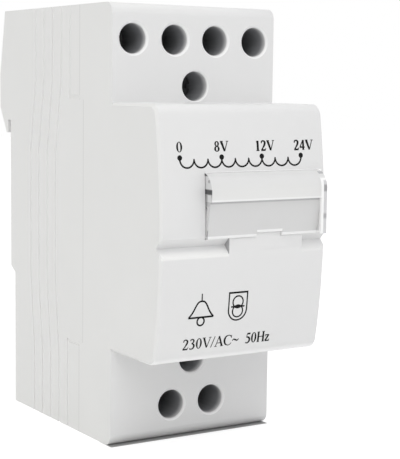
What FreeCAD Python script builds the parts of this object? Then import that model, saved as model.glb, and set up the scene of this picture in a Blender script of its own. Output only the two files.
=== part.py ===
import FreeCAD, Part
import math
import os
import Sketcher

# Doorbell transformer for a 35 mm top-hat rail, two modules wide.
# X runs to the right seen from the front, Y runs back into the panel, Z runs up.
# The origin is the centre of the rail on the face where the rail is seated.

doc = FreeCAD.newDocument("doorbell_transformer")
sheet = doc.addObject("Spreadsheet::Sheet", "dims")


class Size:
    """A length of the sheet, or a sum of such lengths, with its expression."""

    def __init__(self, text, value):
        self.text = text
        self.value = value

    def __add__(self, other):
        other = size_of(other)
        return Size("(%s + %s)" % (self.text, other.text), self.value + other.value)

    def __radd__(self, other):
        return size_of(other) + self

    def __sub__(self, other):
        other = size_of(other)
        return Size("(%s - %s)" % (self.text, other.text), self.value - other.value)

    def __rsub__(self, other):
        return size_of(other) - self

    def __mul__(self, other):
        other = size_of(other)
        return Size("(%s * %s)" % (self.text, other.text), self.value * other.value)

    def __rmul__(self, other):
        return size_of(other) * self

    def __truediv__(self, other):
        other = size_of(other)
        return Size("(%s / %s)" % (self.text, other.text), self.value / other.value)

    def __neg__(self):
        return Size("(-%s)" % self.text, -self.value)


def size_of(number):
    return number if isinstance(number, Size) else Size(repr(float(number)), float(number))


def root(number):
    size = size_of(number)
    return Size("sqrt(%s)" % size.text, math.sqrt(size.value))


def dim(alias, value, meaning):
    """Writes one driving dimension to the sheet."""
    row = dim.row
    sheet.set("A%d" % row, alias)
    sheet.set("B%d" % row, str(value))
    sheet.set("C%d" % row, meaning)
    sheet.setAlias("B%d" % row, alias)
    dim.row = row + 1
    return Size("dims." + alias, float(value))


dim.row = 1

# Outer body
width = dim("width", 35.0, "two modules of 17.5 mm")
height = dim("height", 80.5, "overall height")
wall = dim("wall", 1.6, "wall of both shells")
seam = dim("seam_depth", 32.4, "rail face to the joint between base and cover")
seam_jog = dim("seam_jog", 1.5, "how far the joint steps back beside the terminals")
seam_jog_out = dim("seam_jog_out", 0.3, "raised front to the step in the joint")
shoulder = dim("shoulder_depth", 43.2, "rail face to the terminal shoulders")
shoulder_round = dim("shoulder_round", 2.0, "rounding of the shoulders' outer edges")
shoulder_height = dim("shoulder_height", 17.75, "height of each terminal shoulder")
nose_reach = dim("nose_reach", 17.4, "shoulder to the crown of the raised front")
nose_radius = dim("nose_radius", 120.0, "radius of the bowed front")
nose_round = dim("nose_round", 2.2, "rounding of the raised front's upper and lower edges")
nose_side_cut = dim("nose_side_cut", 0.5, "chamfer of the raised front's side edges")
merge = dim("merge", 0.2, "overlap of ribs and bosses with the wall that carries them")

# Rail seat at the back
floor = dim("floor_depth", 3.8, "rail face to the inside of the back wall")
relief = dim("relief_depth", 2.0, "how far the lower back stands in front of the rail face")
relief_top = dim("relief_top", 12.0, "rail centre down to the lower back")
relief_slope = dim("relief_slope", 1.2, "height of the slope into the lower back")
hook_slot = dim("hook_slot", 1.3, "slot that takes the edge of the rail")
hook_root = dim("hook_root", 18.1, "rail centre to the closed end of the hook's slot")
hook_tip = dim("hook_tip", 15.5, "rail centre to the hook's tip")
hook_tip_width = dim("hook_tip_width", 0.7, "thickness of the hook's tip")
foot_reach = dim("foot_reach", 5.1, "rail face to the back of the foot")
foot_low = dim("foot_low", 20.6, "lower end of the foot's flat back")
foot_high = dim("foot_high", 27.5, "upper end of the foot's flat back")
foot_top_reach = dim("foot_top_reach", 2.65, "reach of the foot at the top of the housing")
foot_rib = dim("foot_rib", 1.5, "ribs between the hollows of the foot")
foot_web = dim("foot_web", 0.4, "rail face to the bottom of the foot's hollows")
foot_hollow_low = dim("foot_hollow_low", 21.8, "lower end of the foot's hollows")
foot_hollow_gap = dim("foot_hollow_gap", 2.85, "top of the housing to the hollows")

# Decorative grooves on the side walls
groove_width = dim("groove_width", 0.6, "width of a side groove")
groove_depth = dim("groove_depth", 0.2, "depth of a side groove")
groove_pitch = dim("groove_pitch", 3.7, "distance between side grooves")
groove_upper = dim("groove_upper", 12.05, "rearmost groove at the top")
groove_middle = dim("groove_middle", 9.65, "rearmost groove in the middle")
groove_lower = dim("groove_lower", 11.2, "rearmost groove at the bottom")
groove_bend_high = dim("groove_bend_high", 26.3, "start of the upper bend")
groove_bend_low = dim("groove_bend_low", 12.4, "end of the upper bend")
groove_foot = dim("groove_foot", 0.2, "step in the joint to the foot of the short grooves")

# Terminals
clamp_side = dim("clamp_side", 0.175, "outer clamps to the side walls")
terminal_drop = dim("terminal_drop", 6.35, "end wall to the row of terminals")
well_bore = dim("well_bore", 5.45, "bore of a screwdriver well")
well_rim = dim("well_rim", 0.4, "chamfer of a terminal's well")
post_rim = dim("post_rim", 0.25, "chamfer of a cover screw's well")
well_wall = dim("well_wall", 0.9, "wall of a screwdriver well")
well_length = dim("well_length", 9.0, "depth of a screwdriver well")
entry_width = dim("entry_width", 5.2, "width of a wire entry")
entry_depth = dim("entry_depth", 5.6, "depth of a wire entry")
clamp_width = dim("clamp_width", 5.2, "outer width of a cage clamp")
clamp_sheet = dim("clamp_sheet", 0.85, "sheet of a cage clamp")
clamp_plate = dim("clamp_plate", 1.2, "threaded front and pressing back of a cage clamp")
clamp_in = dim("clamp_in", 3.0, "end of a screwdriver well to the cage clamp")
clamp_depth = dim("clamp_depth", 10.1, "depth of a cage clamp")
clamp_height = dim("clamp_height", 6.0, "height of a cage clamp")
strip_in = dim("strip_in", 5.3, "front of a cage clamp to the contact strip")
strip_sheet = dim("strip_sheet", 0.8, "sheet of a contact strip")
strip_width = dim("strip_width", 3.2, "width of a contact strip in the clamp")
tail_width = dim("tail_width", 2.0, "width of a contact strip's solder tail")
strip_gap = dim("strip_gap", 1.45, "contact strip to the inside of the end wall")
tail_length = dim("tail_length", 1.9, "solder tail past the inner wall")
screw_head = dim("screw_head", 4.8, "head of a terminal or cover screw")
screw_head_depth = dim("screw_head_depth", 2.2, "thickness of a screw head")
screw_shank = dim("screw_shank", 3.0, "shank of a terminal screw")
screw_slot = dim("screw_slot", 0.8, "width of the driver slot")
screw_slot_depth = dim("screw_slot_depth", 1.1, "depth of the driver slot")
head_gap = dim("head_gap", 0.3, "well end to screw head")
fit = dim("fit_gap", 0.1, "gap between pieces that seat on each other")

# Inner walls of the base
deck_drop = dim("deck_drop", 6.4, "row of terminals to the inner wall beside it")
deck_sheet = dim("deck_sheet", 1.2, "thickness of that wall and of the ribs")
deck_sink = dim("deck_sink", 0.4, "front edge of the inner walls behind the clamps")
post_drop = dim("post_drop", 8.4, "row of terminals to a cover screw")
post_width = dim("post_width", 6.0, "outer size of a screw post")
post_bore = dim("post_bore", 2.9, "bore of a screw post")
post_bore_depth = dim("post_bore_depth", 14.0, "depth of that bore")
cradle_depth = dim("cradle_depth", 12.0, "reach of the ribs beside the core")
cradle_drop = dim("cradle_drop", 3.0, "end of the core to the ribs beside it")

# Cover screws
seat_sheet = dim("seat_sheet", 1.4, "bottom of a cover screw well")
seat_rise = dim("seat_rise", 1.1, "joint of the shells to the inside of that bottom")
cover_shank = dim("cover_shank", 2.8, "shank of a cover screw")
cover_shank_length = dim("cover_shank_length", 12.0, "length of a cover screw below its head")

# Laminated core and coil
core_rear = dim("core_rear", 5.0, "rail face to the back of the core")
core_front_gap = dim("core_front_gap", 7.6, "front of the core to the crown")
core_leg = dim("core_leg", 8.0, "width of the outer legs and yokes")
core_middle = dim("core_middle", 16.0, "width of the middle leg")
core_end_gap = dim("core_end_gap", 20.25, "end wall to the end of the core")
core_stack = dim("core_stack", 14.0, "thickness of the stack of sheets")
bobbin_wall = dim("bobbin_wall", 0.9, "wall of the bobbin")
bobbin_flange = dim("bobbin_flange", 1.0, "thickness of the bobbin's flanges")
bobbin_gap = dim("bobbin_gap", 0.2, "bobbin to core")
coil_side_gap = dim("coil_side_gap", 1.4, "bobbin to the side walls")
coil_leg_gap = dim("coil_leg_gap", 0.5, "bobbin to the outer legs of the core")
coil_cut = dim("coil_cut", 3.0, "cut-off corner of the wound wire")
tape_sheet = dim("tape_sheet", 0.3, "insulating tape round a winding")
lead_width = dim("lead_width", 1.0, "square tinned wire from winding to strip")
lead_lap = dim("lead_lap", 0.5, "inner wall to the soldered end of a lead")
lead_bend_run = dim("lead_bend_run", 3.6, "height of a lead's slanted run")
lead_bend_drop = dim("lead_bend_drop", 0.7, "cover screw to the end of a lead's bend")
lead_core_gap = dim("lead_core_gap", 2.2, "core to the middle of the inner leads")
lead_wall_gap = dim("lead_wall_gap", 3.7, "side wall to the middle of the outer leads")
fuse_width = dim("fuse_width", 3.8, "thermal fuse")
fuse_drop = dim("fuse_drop", 1.7, "bobbin to the fuse")
fuse_length = dim("fuse_length", 7.5, "length of the fuse")

# Hinged label window
flap_left = dim("flap_left", 8.4, "centre to the window's left end")
flap_side = dim("flap_side", 1.1, "outside of the right wall to the window")
flap_gap = dim("flap_gap", 0.15, "window to the ends of its recess")
flap_pivot_in = dim("flap_pivot_in", 1.5, "crown back to the window's pivot")
flap_pivot_z = dim("flap_pivot_height", 7.65, "rail centre to the window's pivot")
flap_roll = dim("flap_roll", 3.15, "rounded upper end about the pivot")
flap_sheet = dim("flap_sheet", 0.9, "sheet of the window")
flap_drop = dim("flap_drop", 1.8, "pivot down to the step in the window")
flap_step = dim("flap_step", 0.45, "step between the window's two halves")
flap_low = dim("flap_low", 0.65, "rail centre down to the window's lower edge")
flap_low_out = dim("flap_low_out", 0.35, "crown out to the window's lower edge")
flap_cheek = dim("flap_cheek", 1.2, "cheek at each end of the window")
roll_gap = dim("roll_gap", 0.2, "rounded end to its recess")
recess_depth = dim("recess_depth", 0.75, "depth of the label field below the crown")
recess_low = dim("recess_low", 0.75, "rail centre down to the end of the label field")
catch_left = dim("catch_left", 2.1, "centre to the left end of the catch under the window")
catch_right = dim("catch_right", 7.3, "centre to the right end of that catch")
catch_rise = dim("catch_rise", 0.7, "height of that catch")
pin_width = dim("pin_width", 1.6, "hinge pin of the window")
pin_length = dim("pin_length", 0.9, "length of a hinge pin")
pin_gap = dim("pin_gap", 0.05, "running clearance of a hinge pin")
block_in = dim("block_in", 1.2, "crown to the inner block that carries the hinge")
block_depth = dim("block_depth", 5.1, "depth of that inner block")
block_low = dim("block_low", 5.2, "inner block, lower end")
block_high = dim("block_high", 12.4, "inner block, upper end")
block_left = dim("block_left", 11.2, "inner block, left end")
grip_high = dim("grip_high", 0.2, "upper edge of the finger grooves")
grip_deep = dim("grip_deep", 2.0, "deepest line of the finger grooves")
grip_low = dim("grip_low", 3.8, "lower edge of the finger grooves")
grip_depth = dim("grip_depth", 1.5, "depth of the finger grooves")
grip_left_end = dim("grip_left_end", 3.5, "inner end of the left finger groove")
grip_right_end = dim("grip_right_end", 12.2, "inner end of the right finger groove")
press_rib = dim("press_rib", 4.0, "side position of the ribs that press on the core")
press_short = dim("press_short", 5.0, "end of the core to the ends of those ribs")
press_sheet = dim("press_sheet", 1.2, "thickness of those ribs")
lip_sheet = dim("lip_sheet", 1.0, "tongue of the cover inside the base")
lip_reach = dim("lip_reach", 2.4, "length of that tongue past the joint")
lip_short = dim("lip_short", 2.5, "end of the raised front to the end of that tongue")

# Sliding rail clip
clip_width = dim("clip_width", 12.0, "width of the rail clip")
clip_flange = dim("clip_flange", 1.0, "guide flange on each side of the clip")
clip_flange_sheet = dim("clip_flange_sheet", 1.05, "thickness of that flange")
clip_gap = dim("clip_gap", 0.15, "clip to its guides")
clip_lift = dim("clip_lift", 0.1, "clip to the back wall and to the rail face")
clip_top = dim("clip_top", 14.5, "rail centre down to the clip's upper end")
clip_edge = dim("clip_edge", 17.7, "rail centre down to the clip's seat for the rail")
clip_tip = dim("clip_tip", 15.4, "rail centre down to the jaw's tip")
clip_jaw = dim("clip_jaw", 3.8, "reach of the jaw behind the rail face")
clip_jaw_high = dim("clip_jaw_high", 18.4, "rail centre down to the jaw's flat back")
clip_jaw_low = dim("clip_jaw_low", 22.5, "lower end of the jaw's flat back")
clip_jaw_foot = dim("clip_jaw_foot", 24.0, "foot of the jaw")
clip_end_gap = dim("clip_end_gap", 3.75, "bottom of the housing to the clip")
clip_slot_width = dim("clip_slot_width", 5.0, "slot for the screwdriver")
clip_slot_height = dim("clip_slot_height", 2.0, "height of that slot")
clip_slot_margin = dim("clip_slot_margin", 1.2, "slot to the clip's lower end")
guide_wall = dim("guide_wall", 1.4, "wall of the clip's guides")
guide_lip = dim("guide_lip", 0.7, "lip of the clip's guides")
guide_gap = dim("guide_gap", 1.25, "bottom of the housing to the clip's guides")
guide_high = dim("guide_high", 25.0, "upper end of the clip's guides")

doc.recompute()

zero = size_of(0)
half_w = width / 2
half_h = height / 2
half_nose = half_h - shoulder_height
crown = shoulder + nose_reach
seam_end = seam - seam_jog
jog_z = half_nose + seam_jog_out
inside_w = half_w - wall

# Places that follow the outer body
pitch = (inside_w - clamp_side - clamp_width / 2) / 1.5
terminal_z = half_h - terminal_drop
well_end = shoulder - well_length
clamp_front = well_end - clamp_in
strip_front = clamp_front - strip_in
strip_end = half_h - wall - strip_gap
deck_low = terminal_z - deck_drop
deck_front = clamp_front - deck_sink
tail_end = deck_low - tail_length
post_z = terminal_z - post_drop
seat_depth = seam + seat_rise
core_length = crown - core_front_gap - core_rear
core_half = half_h - core_end_gap
core_window = 2 * (core_half - core_leg)
cradle_z = core_half - cradle_drop
press_high = core_half - press_short
lip_high = half_nose - lip_short
lead_end = deck_low - lead_lap
lead_bend_high = post_z - lead_bend_drop
lead_bend_low = lead_bend_high - lead_bend_run
lead_inner = core_stack / 2 + lead_core_gap
lead_outer = inside_w - lead_wall_gap
flap_right = half_w - flap_side
flap_pivot_y = crown - flap_pivot_in
flap_low_y = crown + flap_low_out
recess_floor = crown - recess_depth
block_front = crown - block_in
block_back = block_front - block_depth
foot_hollow_high = half_h - foot_hollow_gap
guide_low = half_h - guide_gap
clip_end = half_h - clip_end_gap
nose_edge = crown - nose_radius + root(nose_radius * nose_radius - half_nose * half_nose)


def bind(obj, prop, size):
    obj.setExpression(prop, size_of(size).text)


def new_body(label):
    body = doc.addObject("PartDesign::Body", label)
    body.Label = label
    return body


def origin_feature(body, role):
    return [item for item in body.Origin.OriginFeatures if item.Role == role][0]


def sketch_on(body, role, offset=None):
    """A sketch on one of the body's own origin planes, moved along its normal."""
    sketch = body.newObject("Sketcher::SketchObject", body.Label + "_sketch")
    sketch.AttachmentSupport = (origin_feature(body, role), [""])
    sketch.MapMode = "FlatFace"
    if offset is not None:
        sketch.AttachmentOffset = FreeCAD.Placement(
            FreeCAD.Vector(0, 0, size_of(offset).value), FreeCAD.Rotation())
        bind(sketch, "AttachmentOffset.Base.z", offset)
    return sketch


def pin_point(sketch, geometry, point, u, v):
    """Ties one point of a sketch to two sizes, measured from the origin."""
    for kind, axis, size in (("DistanceX", -2, size_of(u)), ("DistanceY", -1, size_of(v))):
        if size.text == zero.text:
            sketch.addConstraint(Sketcher.Constraint("PointOnObject", geometry, point, axis))
            continue
        index = sketch.addConstraint(
            Sketcher.Constraint(kind, -1, 1, geometry, point, size.value))
        bind(sketch, "Constraints[%d]" % index, size)


def arc_between(start, end, radius):
    """The shorter arc that runs anticlockwise from start to end."""
    chord = end - start
    middle = (start + end) * 0.5
    rise = math.sqrt(radius * radius - chord.Length * chord.Length / 4)
    across = FreeCAD.Vector(-chord.y, chord.x, 0).normalize()
    centre = middle + across * rise
    first = math.atan2(start.y - centre.y, start.x - centre.x)
    last = math.atan2(end.y - centre.y, end.x - centre.x)
    circle = Part.Circle(centre, FreeCAD.Vector(0, 0, 1), radius)
    return Part.ArcOfCircle(circle, first, last if last > first else last + 2 * math.pi)


def outline(sketch, corners, arcs=None, closed=True):
    """A run of lines through corners; arcs gives a radius for the line after a corner,
    positive where it bends anticlockwise and negative where it bends clockwise."""
    arcs = arcs or {}
    base = sketch.GeometryCount
    count = len(corners)
    spans = count if closed else count - 1
    places = [FreeCAD.Vector(size_of(u).value, size_of(v).value, 0) for u, v in corners]
    ends = []
    for index in range(spans):
        start = places[index]
        end = places[(index + 1) % count]
        turn = arcs.get(index)
        if turn is None:
            sketch.addGeometry(Part.LineSegment(start, end))
            ends.append((1, 2))
        elif turn[1] > 0:
            sketch.addGeometry(arc_between(start, end, turn[0].value))
            ends.append((1, 2))
        else:
            sketch.addGeometry(arc_between(end, start, turn[0].value))
            ends.append((2, 1))
    for index in range(spans if closed else spans - 1):
        after = (index + 1) % spans
        sketch.addConstraint(Sketcher.Constraint(
            "Coincident", base + index, ends[index][1], base + after, ends[after][0]))
    for index, (u, v) in enumerate(corners):
        if index < spans:
            pin_point(sketch, base + index, ends[index][0], u, v)
        else:
            pin_point(sketch, base + index - 1, ends[index - 1][1], u, v)
    for index, turn in arcs.items():
        rule = sketch.addConstraint(Sketcher.Constraint("Radius", base + index, turn[0].value))
        bind(sketch, "Constraints[%d]" % rule, turn[0])


def rectangle(sketch, u0, u1, v0, v1):
    outline(sketch, [(u0, v0), (u1, v0), (u1, v1), (u0, v1)])


def cut_rectangle(sketch, u0, u1, v0, v1, cut):
    outline(sketch, [
        (u0 + cut, v0), (u1 - cut, v0), (u1, v0 + cut), (u1, v1 - cut),
        (u1 - cut, v1), (u0 + cut, v1), (u0, v1 - cut), (u0, v0 + cut)])


def disc(sketch, u, v, diameter):
    centre = FreeCAD.Vector(size_of(u).value, size_of(v).value, 0)
    circle = Part.Circle(centre, FreeCAD.Vector(0, 0, 1), diameter.value / 2)
    geometry = sketch.addGeometry(circle)
    pin_point(sketch, geometry, 3, u, v)
    index = sketch.addConstraint(Sketcher.Constraint("Diameter", geometry, diameter.value))
    bind(sketch, "Constraints[%d]" % index, diameter)


def extrude(body, kind, sketch, length, both=False, turned=False):
    feature = body.newObject(kind, body.Label + "_" + kind.split("::")[1].lower())
    feature.Profile = sketch
    bind(feature, "Length", length)
    if both:
        feature.SideType = "Symmetric"
    feature.Reversed = turned
    doc.recompute()
    return feature


def pad(body, sketch, length, both=False, turned=False):
    return extrude(body, "PartDesign::Pad", sketch, length, both, turned)


def pocket(body, sketch, length, both=False, turned=False):
    return extrude(body, "PartDesign::Pocket", sketch, length, both, turned)


def dress(body, kind, feature, chosen, prop, size):
    names = ["Edge%d" % (n + 1) for n, edge in enumerate(feature.Shape.Edges) if chosen(edge)]
    dressed = body.newObject(kind, body.Label + "_" + kind.split("::")[1].lower())
    dressed.Base = (feature, names)
    bind(dressed, prop, size)
    doc.recompute()
    return dressed


def fillet(body, feature, chosen, radius):
    return dress(body, "PartDesign::Fillet", feature, chosen, "Radius", radius)


def chamfer(body, feature, chosen, cut):
    return dress(body, "PartDesign::Chamfer", feature, chosen, "Size", cut)


def repeat_forward(body, feature, spacing, count):
    """Repeats a feature towards the front at an even spacing."""
    pattern = body.newObject("PartDesign::LinearPattern", body.Label + "_pattern")
    pattern.Originals = [feature]
    pattern.Direction = (origin_feature(body, "Y_Axis"), [""])
    pattern.Reversed = True
    bind(pattern, "Length", spacing * (count - 1))
    pattern.Occurrences = count
    body.Tip = pattern
    doc.recompute()
    return pattern


def turn_profile(body, sketch):
    """Revolves a sketch on the YZ plane about the line through its origin along Y."""
    turned = body.newObject("PartDesign::Revolution", body.Label + "_turned")
    turned.Profile = sketch
    turned.ReferenceAxis = (sketch, ["H_Axis"])
    turned.Angle = 360
    doc.recompute()
    return turned


def place_copy(source, across, up=zero, lower=False):
    """A copy moved sideways and up; a lower copy is turned half round about Y."""
    copy = doc.addObject("App::Link", source.Label + "_copy")
    copy.LinkedObject = source
    spin = FreeCAD.Rotation(FreeCAD.Vector(0, 1, 0), 180 if lower else 0)
    copy.Placement = FreeCAD.Placement(FreeCAD.Vector(), spin)
    bind(copy, "Placement.Base.x", across)
    bind(copy, "Placement.Base.z", up)
    return copy


def gather(label, copies):
    group = doc.addObject("Part::Compound", label)
    group.Label = label
    group.Links = copies
    doc.recompute()
    return group


pieces = []
outputs = [pitch * step for step in (-1.5, -0.5, 0.5, 1.5)]
mains = [pitch * step for step in (-0.5, 0.5)]

# Rear base: a moulded box open to the front, with the rail hook and the clip's guides
base = new_body("rear_base")
sketch = sketch_on(base, "YZ_Plane")
outline(sketch, [
    (-seam_end, half_h), (foot_top_reach, half_h), (foot_reach, foot_high), (foot_reach, foot_low),
    (hook_slot + hook_tip_width, hook_tip), (hook_slot, hook_tip), (hook_slot, hook_root),
    (zero, hook_root), (zero, -relief_top), (-relief, -(relief_top + relief_slope)),
    (-relief, -half_h), (-seam_end, -half_h), (-seam_end, -jog_z), (-seam, -jog_z),
    (-seam, jog_z), (-seam_end, jog_z)])
pad(base, sketch, width, both=True)

groove_half = groove_width / 2
run_out = wall
for side in (-1, 1):
    sketch = sketch_on(base, "YZ_Plane", half_w * side)
    outline(sketch, [
        (-groove_upper - groove_half, half_h + run_out),
        (-groove_upper - groove_half, groove_bend_high),
        (-groove_middle - groove_half, groove_bend_low),
        (-groove_middle - groove_half, -groove_bend_low),
        (-groove_lower - groove_half, -groove_bend_high),
        (-groove_lower - groove_half, -half_h - run_out),
        (-groove_lower + groove_half, -half_h - run_out),
        (-groove_lower + groove_half, -groove_bend_high),
        (-groove_middle + groove_half, -groove_bend_low),
        (-groove_middle + groove_half, groove_bend_low),
        (-groove_upper + groove_half, groove_bend_high),
        (-groove_upper + groove_half, half_h + run_out)])
    cut = pocket(base, sketch, groove_depth, turned=side < 0)
    repeat_forward(base, cut, groove_pitch, 4)
    for start, end in ((groove_upper, 1), (groove_lower, -1)):
        middle = -(start + groove_pitch * 4)
        foot = (jog_z + groove_foot) * end
        heel = (jog_z + groove_foot + groove_width) * end
        far = (half_h + run_out) * end
        sketch = sketch_on(base, "YZ_Plane", half_w * side)
        outline(sketch, [
            (middle + groove_half, far), (middle + groove_half, foot), (-seam_end - merge, foot),
            (-seam_end - merge, heel), (middle - groove_half, heel), (middle - groove_half, far)])
        pocket(base, sketch, groove_depth, turned=side < 0)

sketch = sketch_on(base, "XZ_Plane", seam)
rectangle(sketch, -half_w + wall, half_w - wall, -half_h + wall, half_h - wall)
pocket(base, sketch, seam - floor)

hollow = (width - 2 * wall - 2 * foot_rib) / 3
sketch = sketch_on(base, "XZ_Plane", -(foot_reach + merge))
for step in (-1, 0, 1):
    middle = (hollow + foot_rib) * step
    rectangle(sketch, middle - hollow / 2, middle + hollow / 2, foot_hollow_low, foot_hollow_high)
pocket(base, sketch, foot_reach + merge - foot_web, turned=True)

# Terminal decks, partitions and the ribs behind the clamps
deck_high = deck_low + deck_sheet
sketch = sketch_on(base, "XZ_Plane", floor - merge)
inner_w = half_w - wall + merge
rectangle(sketch, -inner_w, inner_w, deck_low, deck_high)
rectangle(sketch, -inner_w, inner_w, -deck_high, -deck_low)
pad(base, sketch, deck_front - floor + merge)

sketch = sketch_on(base, "XZ_Plane", floor - merge)
inner_h = half_h - wall + merge
half_sheet = deck_sheet / 2
for step in (-1, 0, 1):
    middle = pitch * step
    for low, high in ((deck_low + merge, inner_h), (-inner_h, -deck_low - merge)):
        rectangle(sketch, middle - half_sheet, middle + half_sheet, low, high)
pad(base, sketch, deck_front - floor + merge - fit)

clamp_back = clamp_front - clamp_depth
sketch = sketch_on(base, "XZ_Plane", floor - merge)
for across in outputs:
    rectangle(sketch, across - half_sheet, across + half_sheet, deck_low + merge, inner_h)
for across in mains:
    rectangle(sketch, across - half_sheet, across + half_sheet, -inner_h, -deck_low - merge)
pad(base, sketch, clamp_back - fit - floor + merge)

tail_half = tail_width / 2
for places, level, turned in ((outputs, deck_high, False), (mains, -deck_high, True)):
    sketch = sketch_on(base, "XY_Plane", level)
    for across in places:
        rectangle(sketch, across - tail_half - fit, across + tail_half + fit,
                  -strip_front - fit, -strip_front + strip_sheet + fit)
    pocket(base, sketch, deck_sheet, turned=turned)

# Cover screw posts, core seat and core cradle
sketch = sketch_on(base, "XZ_Plane", floor - merge)
half_post = post_width / 2
for level in (post_z, -post_z):
    rectangle(sketch, -half_post, half_post, level - half_post, level + half_post)
post_end = seat_depth - fit
pad(base, sketch, post_end - floor + merge)
sketch = sketch_on(base, "XZ_Plane", post_end)
disc(sketch, zero, post_z, post_bore)
disc(sketch, zero, -post_z, post_bore)
pocket(base, sketch, post_bore_depth)

half_stack = core_stack / 2
sketch = sketch_on(base, "XZ_Plane", floor - merge)
for side in (-1, 1):
    near = (half_stack + fit) * side
    far = inner_w * side
    left, right = (near, far) if side > 0 else (far, near)
    rectangle(sketch, left, right, cradle_z, cradle_z + deck_sheet)
    rectangle(sketch, left, right, -cradle_z - deck_sheet, -cradle_z)
pad(base, sketch, cradle_depth)
sketch = sketch_on(base, "XZ_Plane", floor - merge)
rectangle(sketch, -half_stack, half_stack, core_window / 2, core_half)
rectangle(sketch, -half_stack, half_stack, -core_half, -core_window / 2)
pad(base, sketch, core_rear - fit - floor + merge)

# Wire entries in the top and bottom walls
wire_y = -(clamp_back + strip_front - strip_sheet + clamp_plate) / 2
for places, level, turned in ((outputs, half_h, False), (mains, -half_h, True)):
    sketch = sketch_on(base, "XY_Plane", level)
    for across in places:
        rectangle(sketch, across - entry_width / 2, across + entry_width / 2,
                  wire_y - entry_depth / 2, wire_y + entry_depth / 2)
    pocket(base, sketch, wall + merge, turned=turned)

# Guides for the rail clip on the lower back
clip_half = clip_width / 2
guide_in = clip_half + clip_flange + clip_gap
guide_lip_in = clip_half + clip_gap
guide_out = guide_in + guide_wall
for side in (-1, 1):
    sketch = sketch_on(base, "XY_Plane", -guide_low)
    outline(sketch, [
        (guide_in * side, -relief - merge), (guide_out * side, -relief - merge),
        (guide_out * side, zero), (guide_lip_in * side, zero),
        (guide_lip_in * side, -guide_lip), (guide_in * side, -guide_lip)])
    pad(base, sketch, guide_low - guide_high)
pieces.append(base)

# Front cover: shoulders with screwdriver wells and the bowed, raised front
cover = new_body("front_cover")
sketch = sketch_on(cover, "YZ_Plane")
outline(sketch, [
    (-seam_end, half_h), (-shoulder, half_h), (-shoulder, half_nose), (-nose_edge, half_nose),
    (-nose_edge, -half_nose), (-shoulder, -half_nose), (-shoulder, -half_h), (-seam_end, -half_h),
    (-seam_end, -jog_z), (-seam, -jog_z), (-seam, jog_z), (-seam_end, jog_z)],
    {3: (nose_radius, 1)})
block = pad(cover, sketch, width, both=True)


def runs_across(edge, depth, level):
    middle = edge.CenterOfMass
    box = edge.BoundBox
    return (box.XLength > width.value * 0.9 and abs(middle.y + depth.value) < 0.01
            and abs(abs(middle.z) - level.value) < 0.01)


rounded = fillet(cover, block, lambda edge: runs_across(edge, shoulder, half_h), shoulder_round)
rounded = fillet(cover, rounded, lambda edge: runs_across(edge, nose_edge, half_nose), nose_round)


def bows_at_side(edge):
    middle = edge.CenterOfMass
    return (abs(abs(middle.x) - half_w.value) < 0.01 and edge.BoundBox.ZLength > half_nose.value
            and middle.y < -shoulder.value - 1 and edge.Curve.TypeId == "Part::GeomCircle")


chamfer(cover, rounded, bows_at_side, nose_side_cut)

inner_radius = nose_radius - wall
inner_nose = half_nose - wall
bow_centre = nose_radius - crown
inner_edge = bow_centre - root(inner_radius * inner_radius - inner_nose * inner_nose)
sketch = sketch_on(cover, "YZ_Plane")
outline(sketch, [
    (-seam_end + merge, half_h - wall), (-shoulder + wall, half_h - wall),
    (-shoulder + wall, inner_nose), (inner_edge, inner_nose), (inner_edge, -inner_nose),
    (-shoulder + wall, -inner_nose), (-shoulder + wall, -half_h + wall),
    (-seam_end + merge, -half_h + wall)], {3: (inner_radius, 1)})
pocket(cover, sketch, width - 2 * wall, both=True)

# Block behind the front wall that carries the hinge, and ribs that press on the core
sketch = sketch_on(cover, "XZ_Plane", block_back)
rectangle(sketch, -block_left, half_w - wall + merge, -block_low, block_high)
pad(cover, sketch, block_front - block_back)
core_front = core_rear + core_length
sketch = sketch_on(cover, "XZ_Plane", core_front + fit)
half_rib = press_sheet / 2
for side in (-1, 1):
    middle = press_rib * side
    rectangle(sketch, middle - half_rib, middle + half_rib, -press_high, press_high)
pad(cover, sketch, crown - wall - core_front)

# Tongues that locate the cover inside the base
sketch = sketch_on(cover, "XZ_Plane", seam - lip_reach)
lip_out = half_w - wall - fit
for side in (-1, 1):
    near, far = (lip_out - lip_sheet, lip_out) if side > 0 else (-lip_out, lip_sheet - lip_out)
    rectangle(sketch, near, far, -lip_high, lip_high)
pad(cover, sketch, 2 * lip_reach)
sketch = sketch_on(cover, "XZ_Plane", seam)
for side in (-1, 1):
    near, far = ((lip_out - lip_sheet, inner_w) if side > 0 else (-inner_w, lip_sheet - lip_out))
    rectangle(sketch, near, far, -lip_high, lip_high)
pad(cover, sketch, lip_reach)

# Screwdriver wells to the terminals and to the cover screws, bored in square blocks
well_half = well_bore / 2 + well_wall
row_end = half_w - wall / 2
sketch = sketch_on(cover, "XZ_Plane", well_end)
rectangle(sketch, -row_end, row_end, terminal_z - well_half, terminal_z + well_half)
rectangle(sketch, mains[0] - well_half, mains[1] + well_half,
          -terminal_z - well_half, -terminal_z + well_half)
pad(cover, sketch, shoulder - well_end - wall + merge)
sketch = sketch_on(cover, "XZ_Plane", seat_depth)
for level in (post_z, -post_z):
    rectangle(sketch, -well_half, well_half, level - well_half, level + well_half)
pad(cover, sketch, shoulder - seat_depth - wall + merge)
sketch = sketch_on(cover, "XZ_Plane", shoulder)
for across in outputs:
    disc(sketch, across, terminal_z, well_bore)
for across in mains:
    disc(sketch, across, -terminal_z, well_bore)
pocket(cover, sketch, shoulder - well_end + merge)
sketch = sketch_on(cover, "XZ_Plane", shoulder)
disc(sketch, zero, post_z, well_bore)
disc(sketch, zero, -post_z, well_bore)
pocket(cover, sketch, shoulder - seat_depth - seat_sheet)
sketch = sketch_on(cover, "XZ_Plane", shoulder)
disc(sketch, zero, post_z, cover_shank + 2 * fit)
disc(sketch, zero, -post_z, cover_shank + 2 * fit)
bored = pocket(cover, sketch, shoulder - seat_depth + merge)


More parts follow.
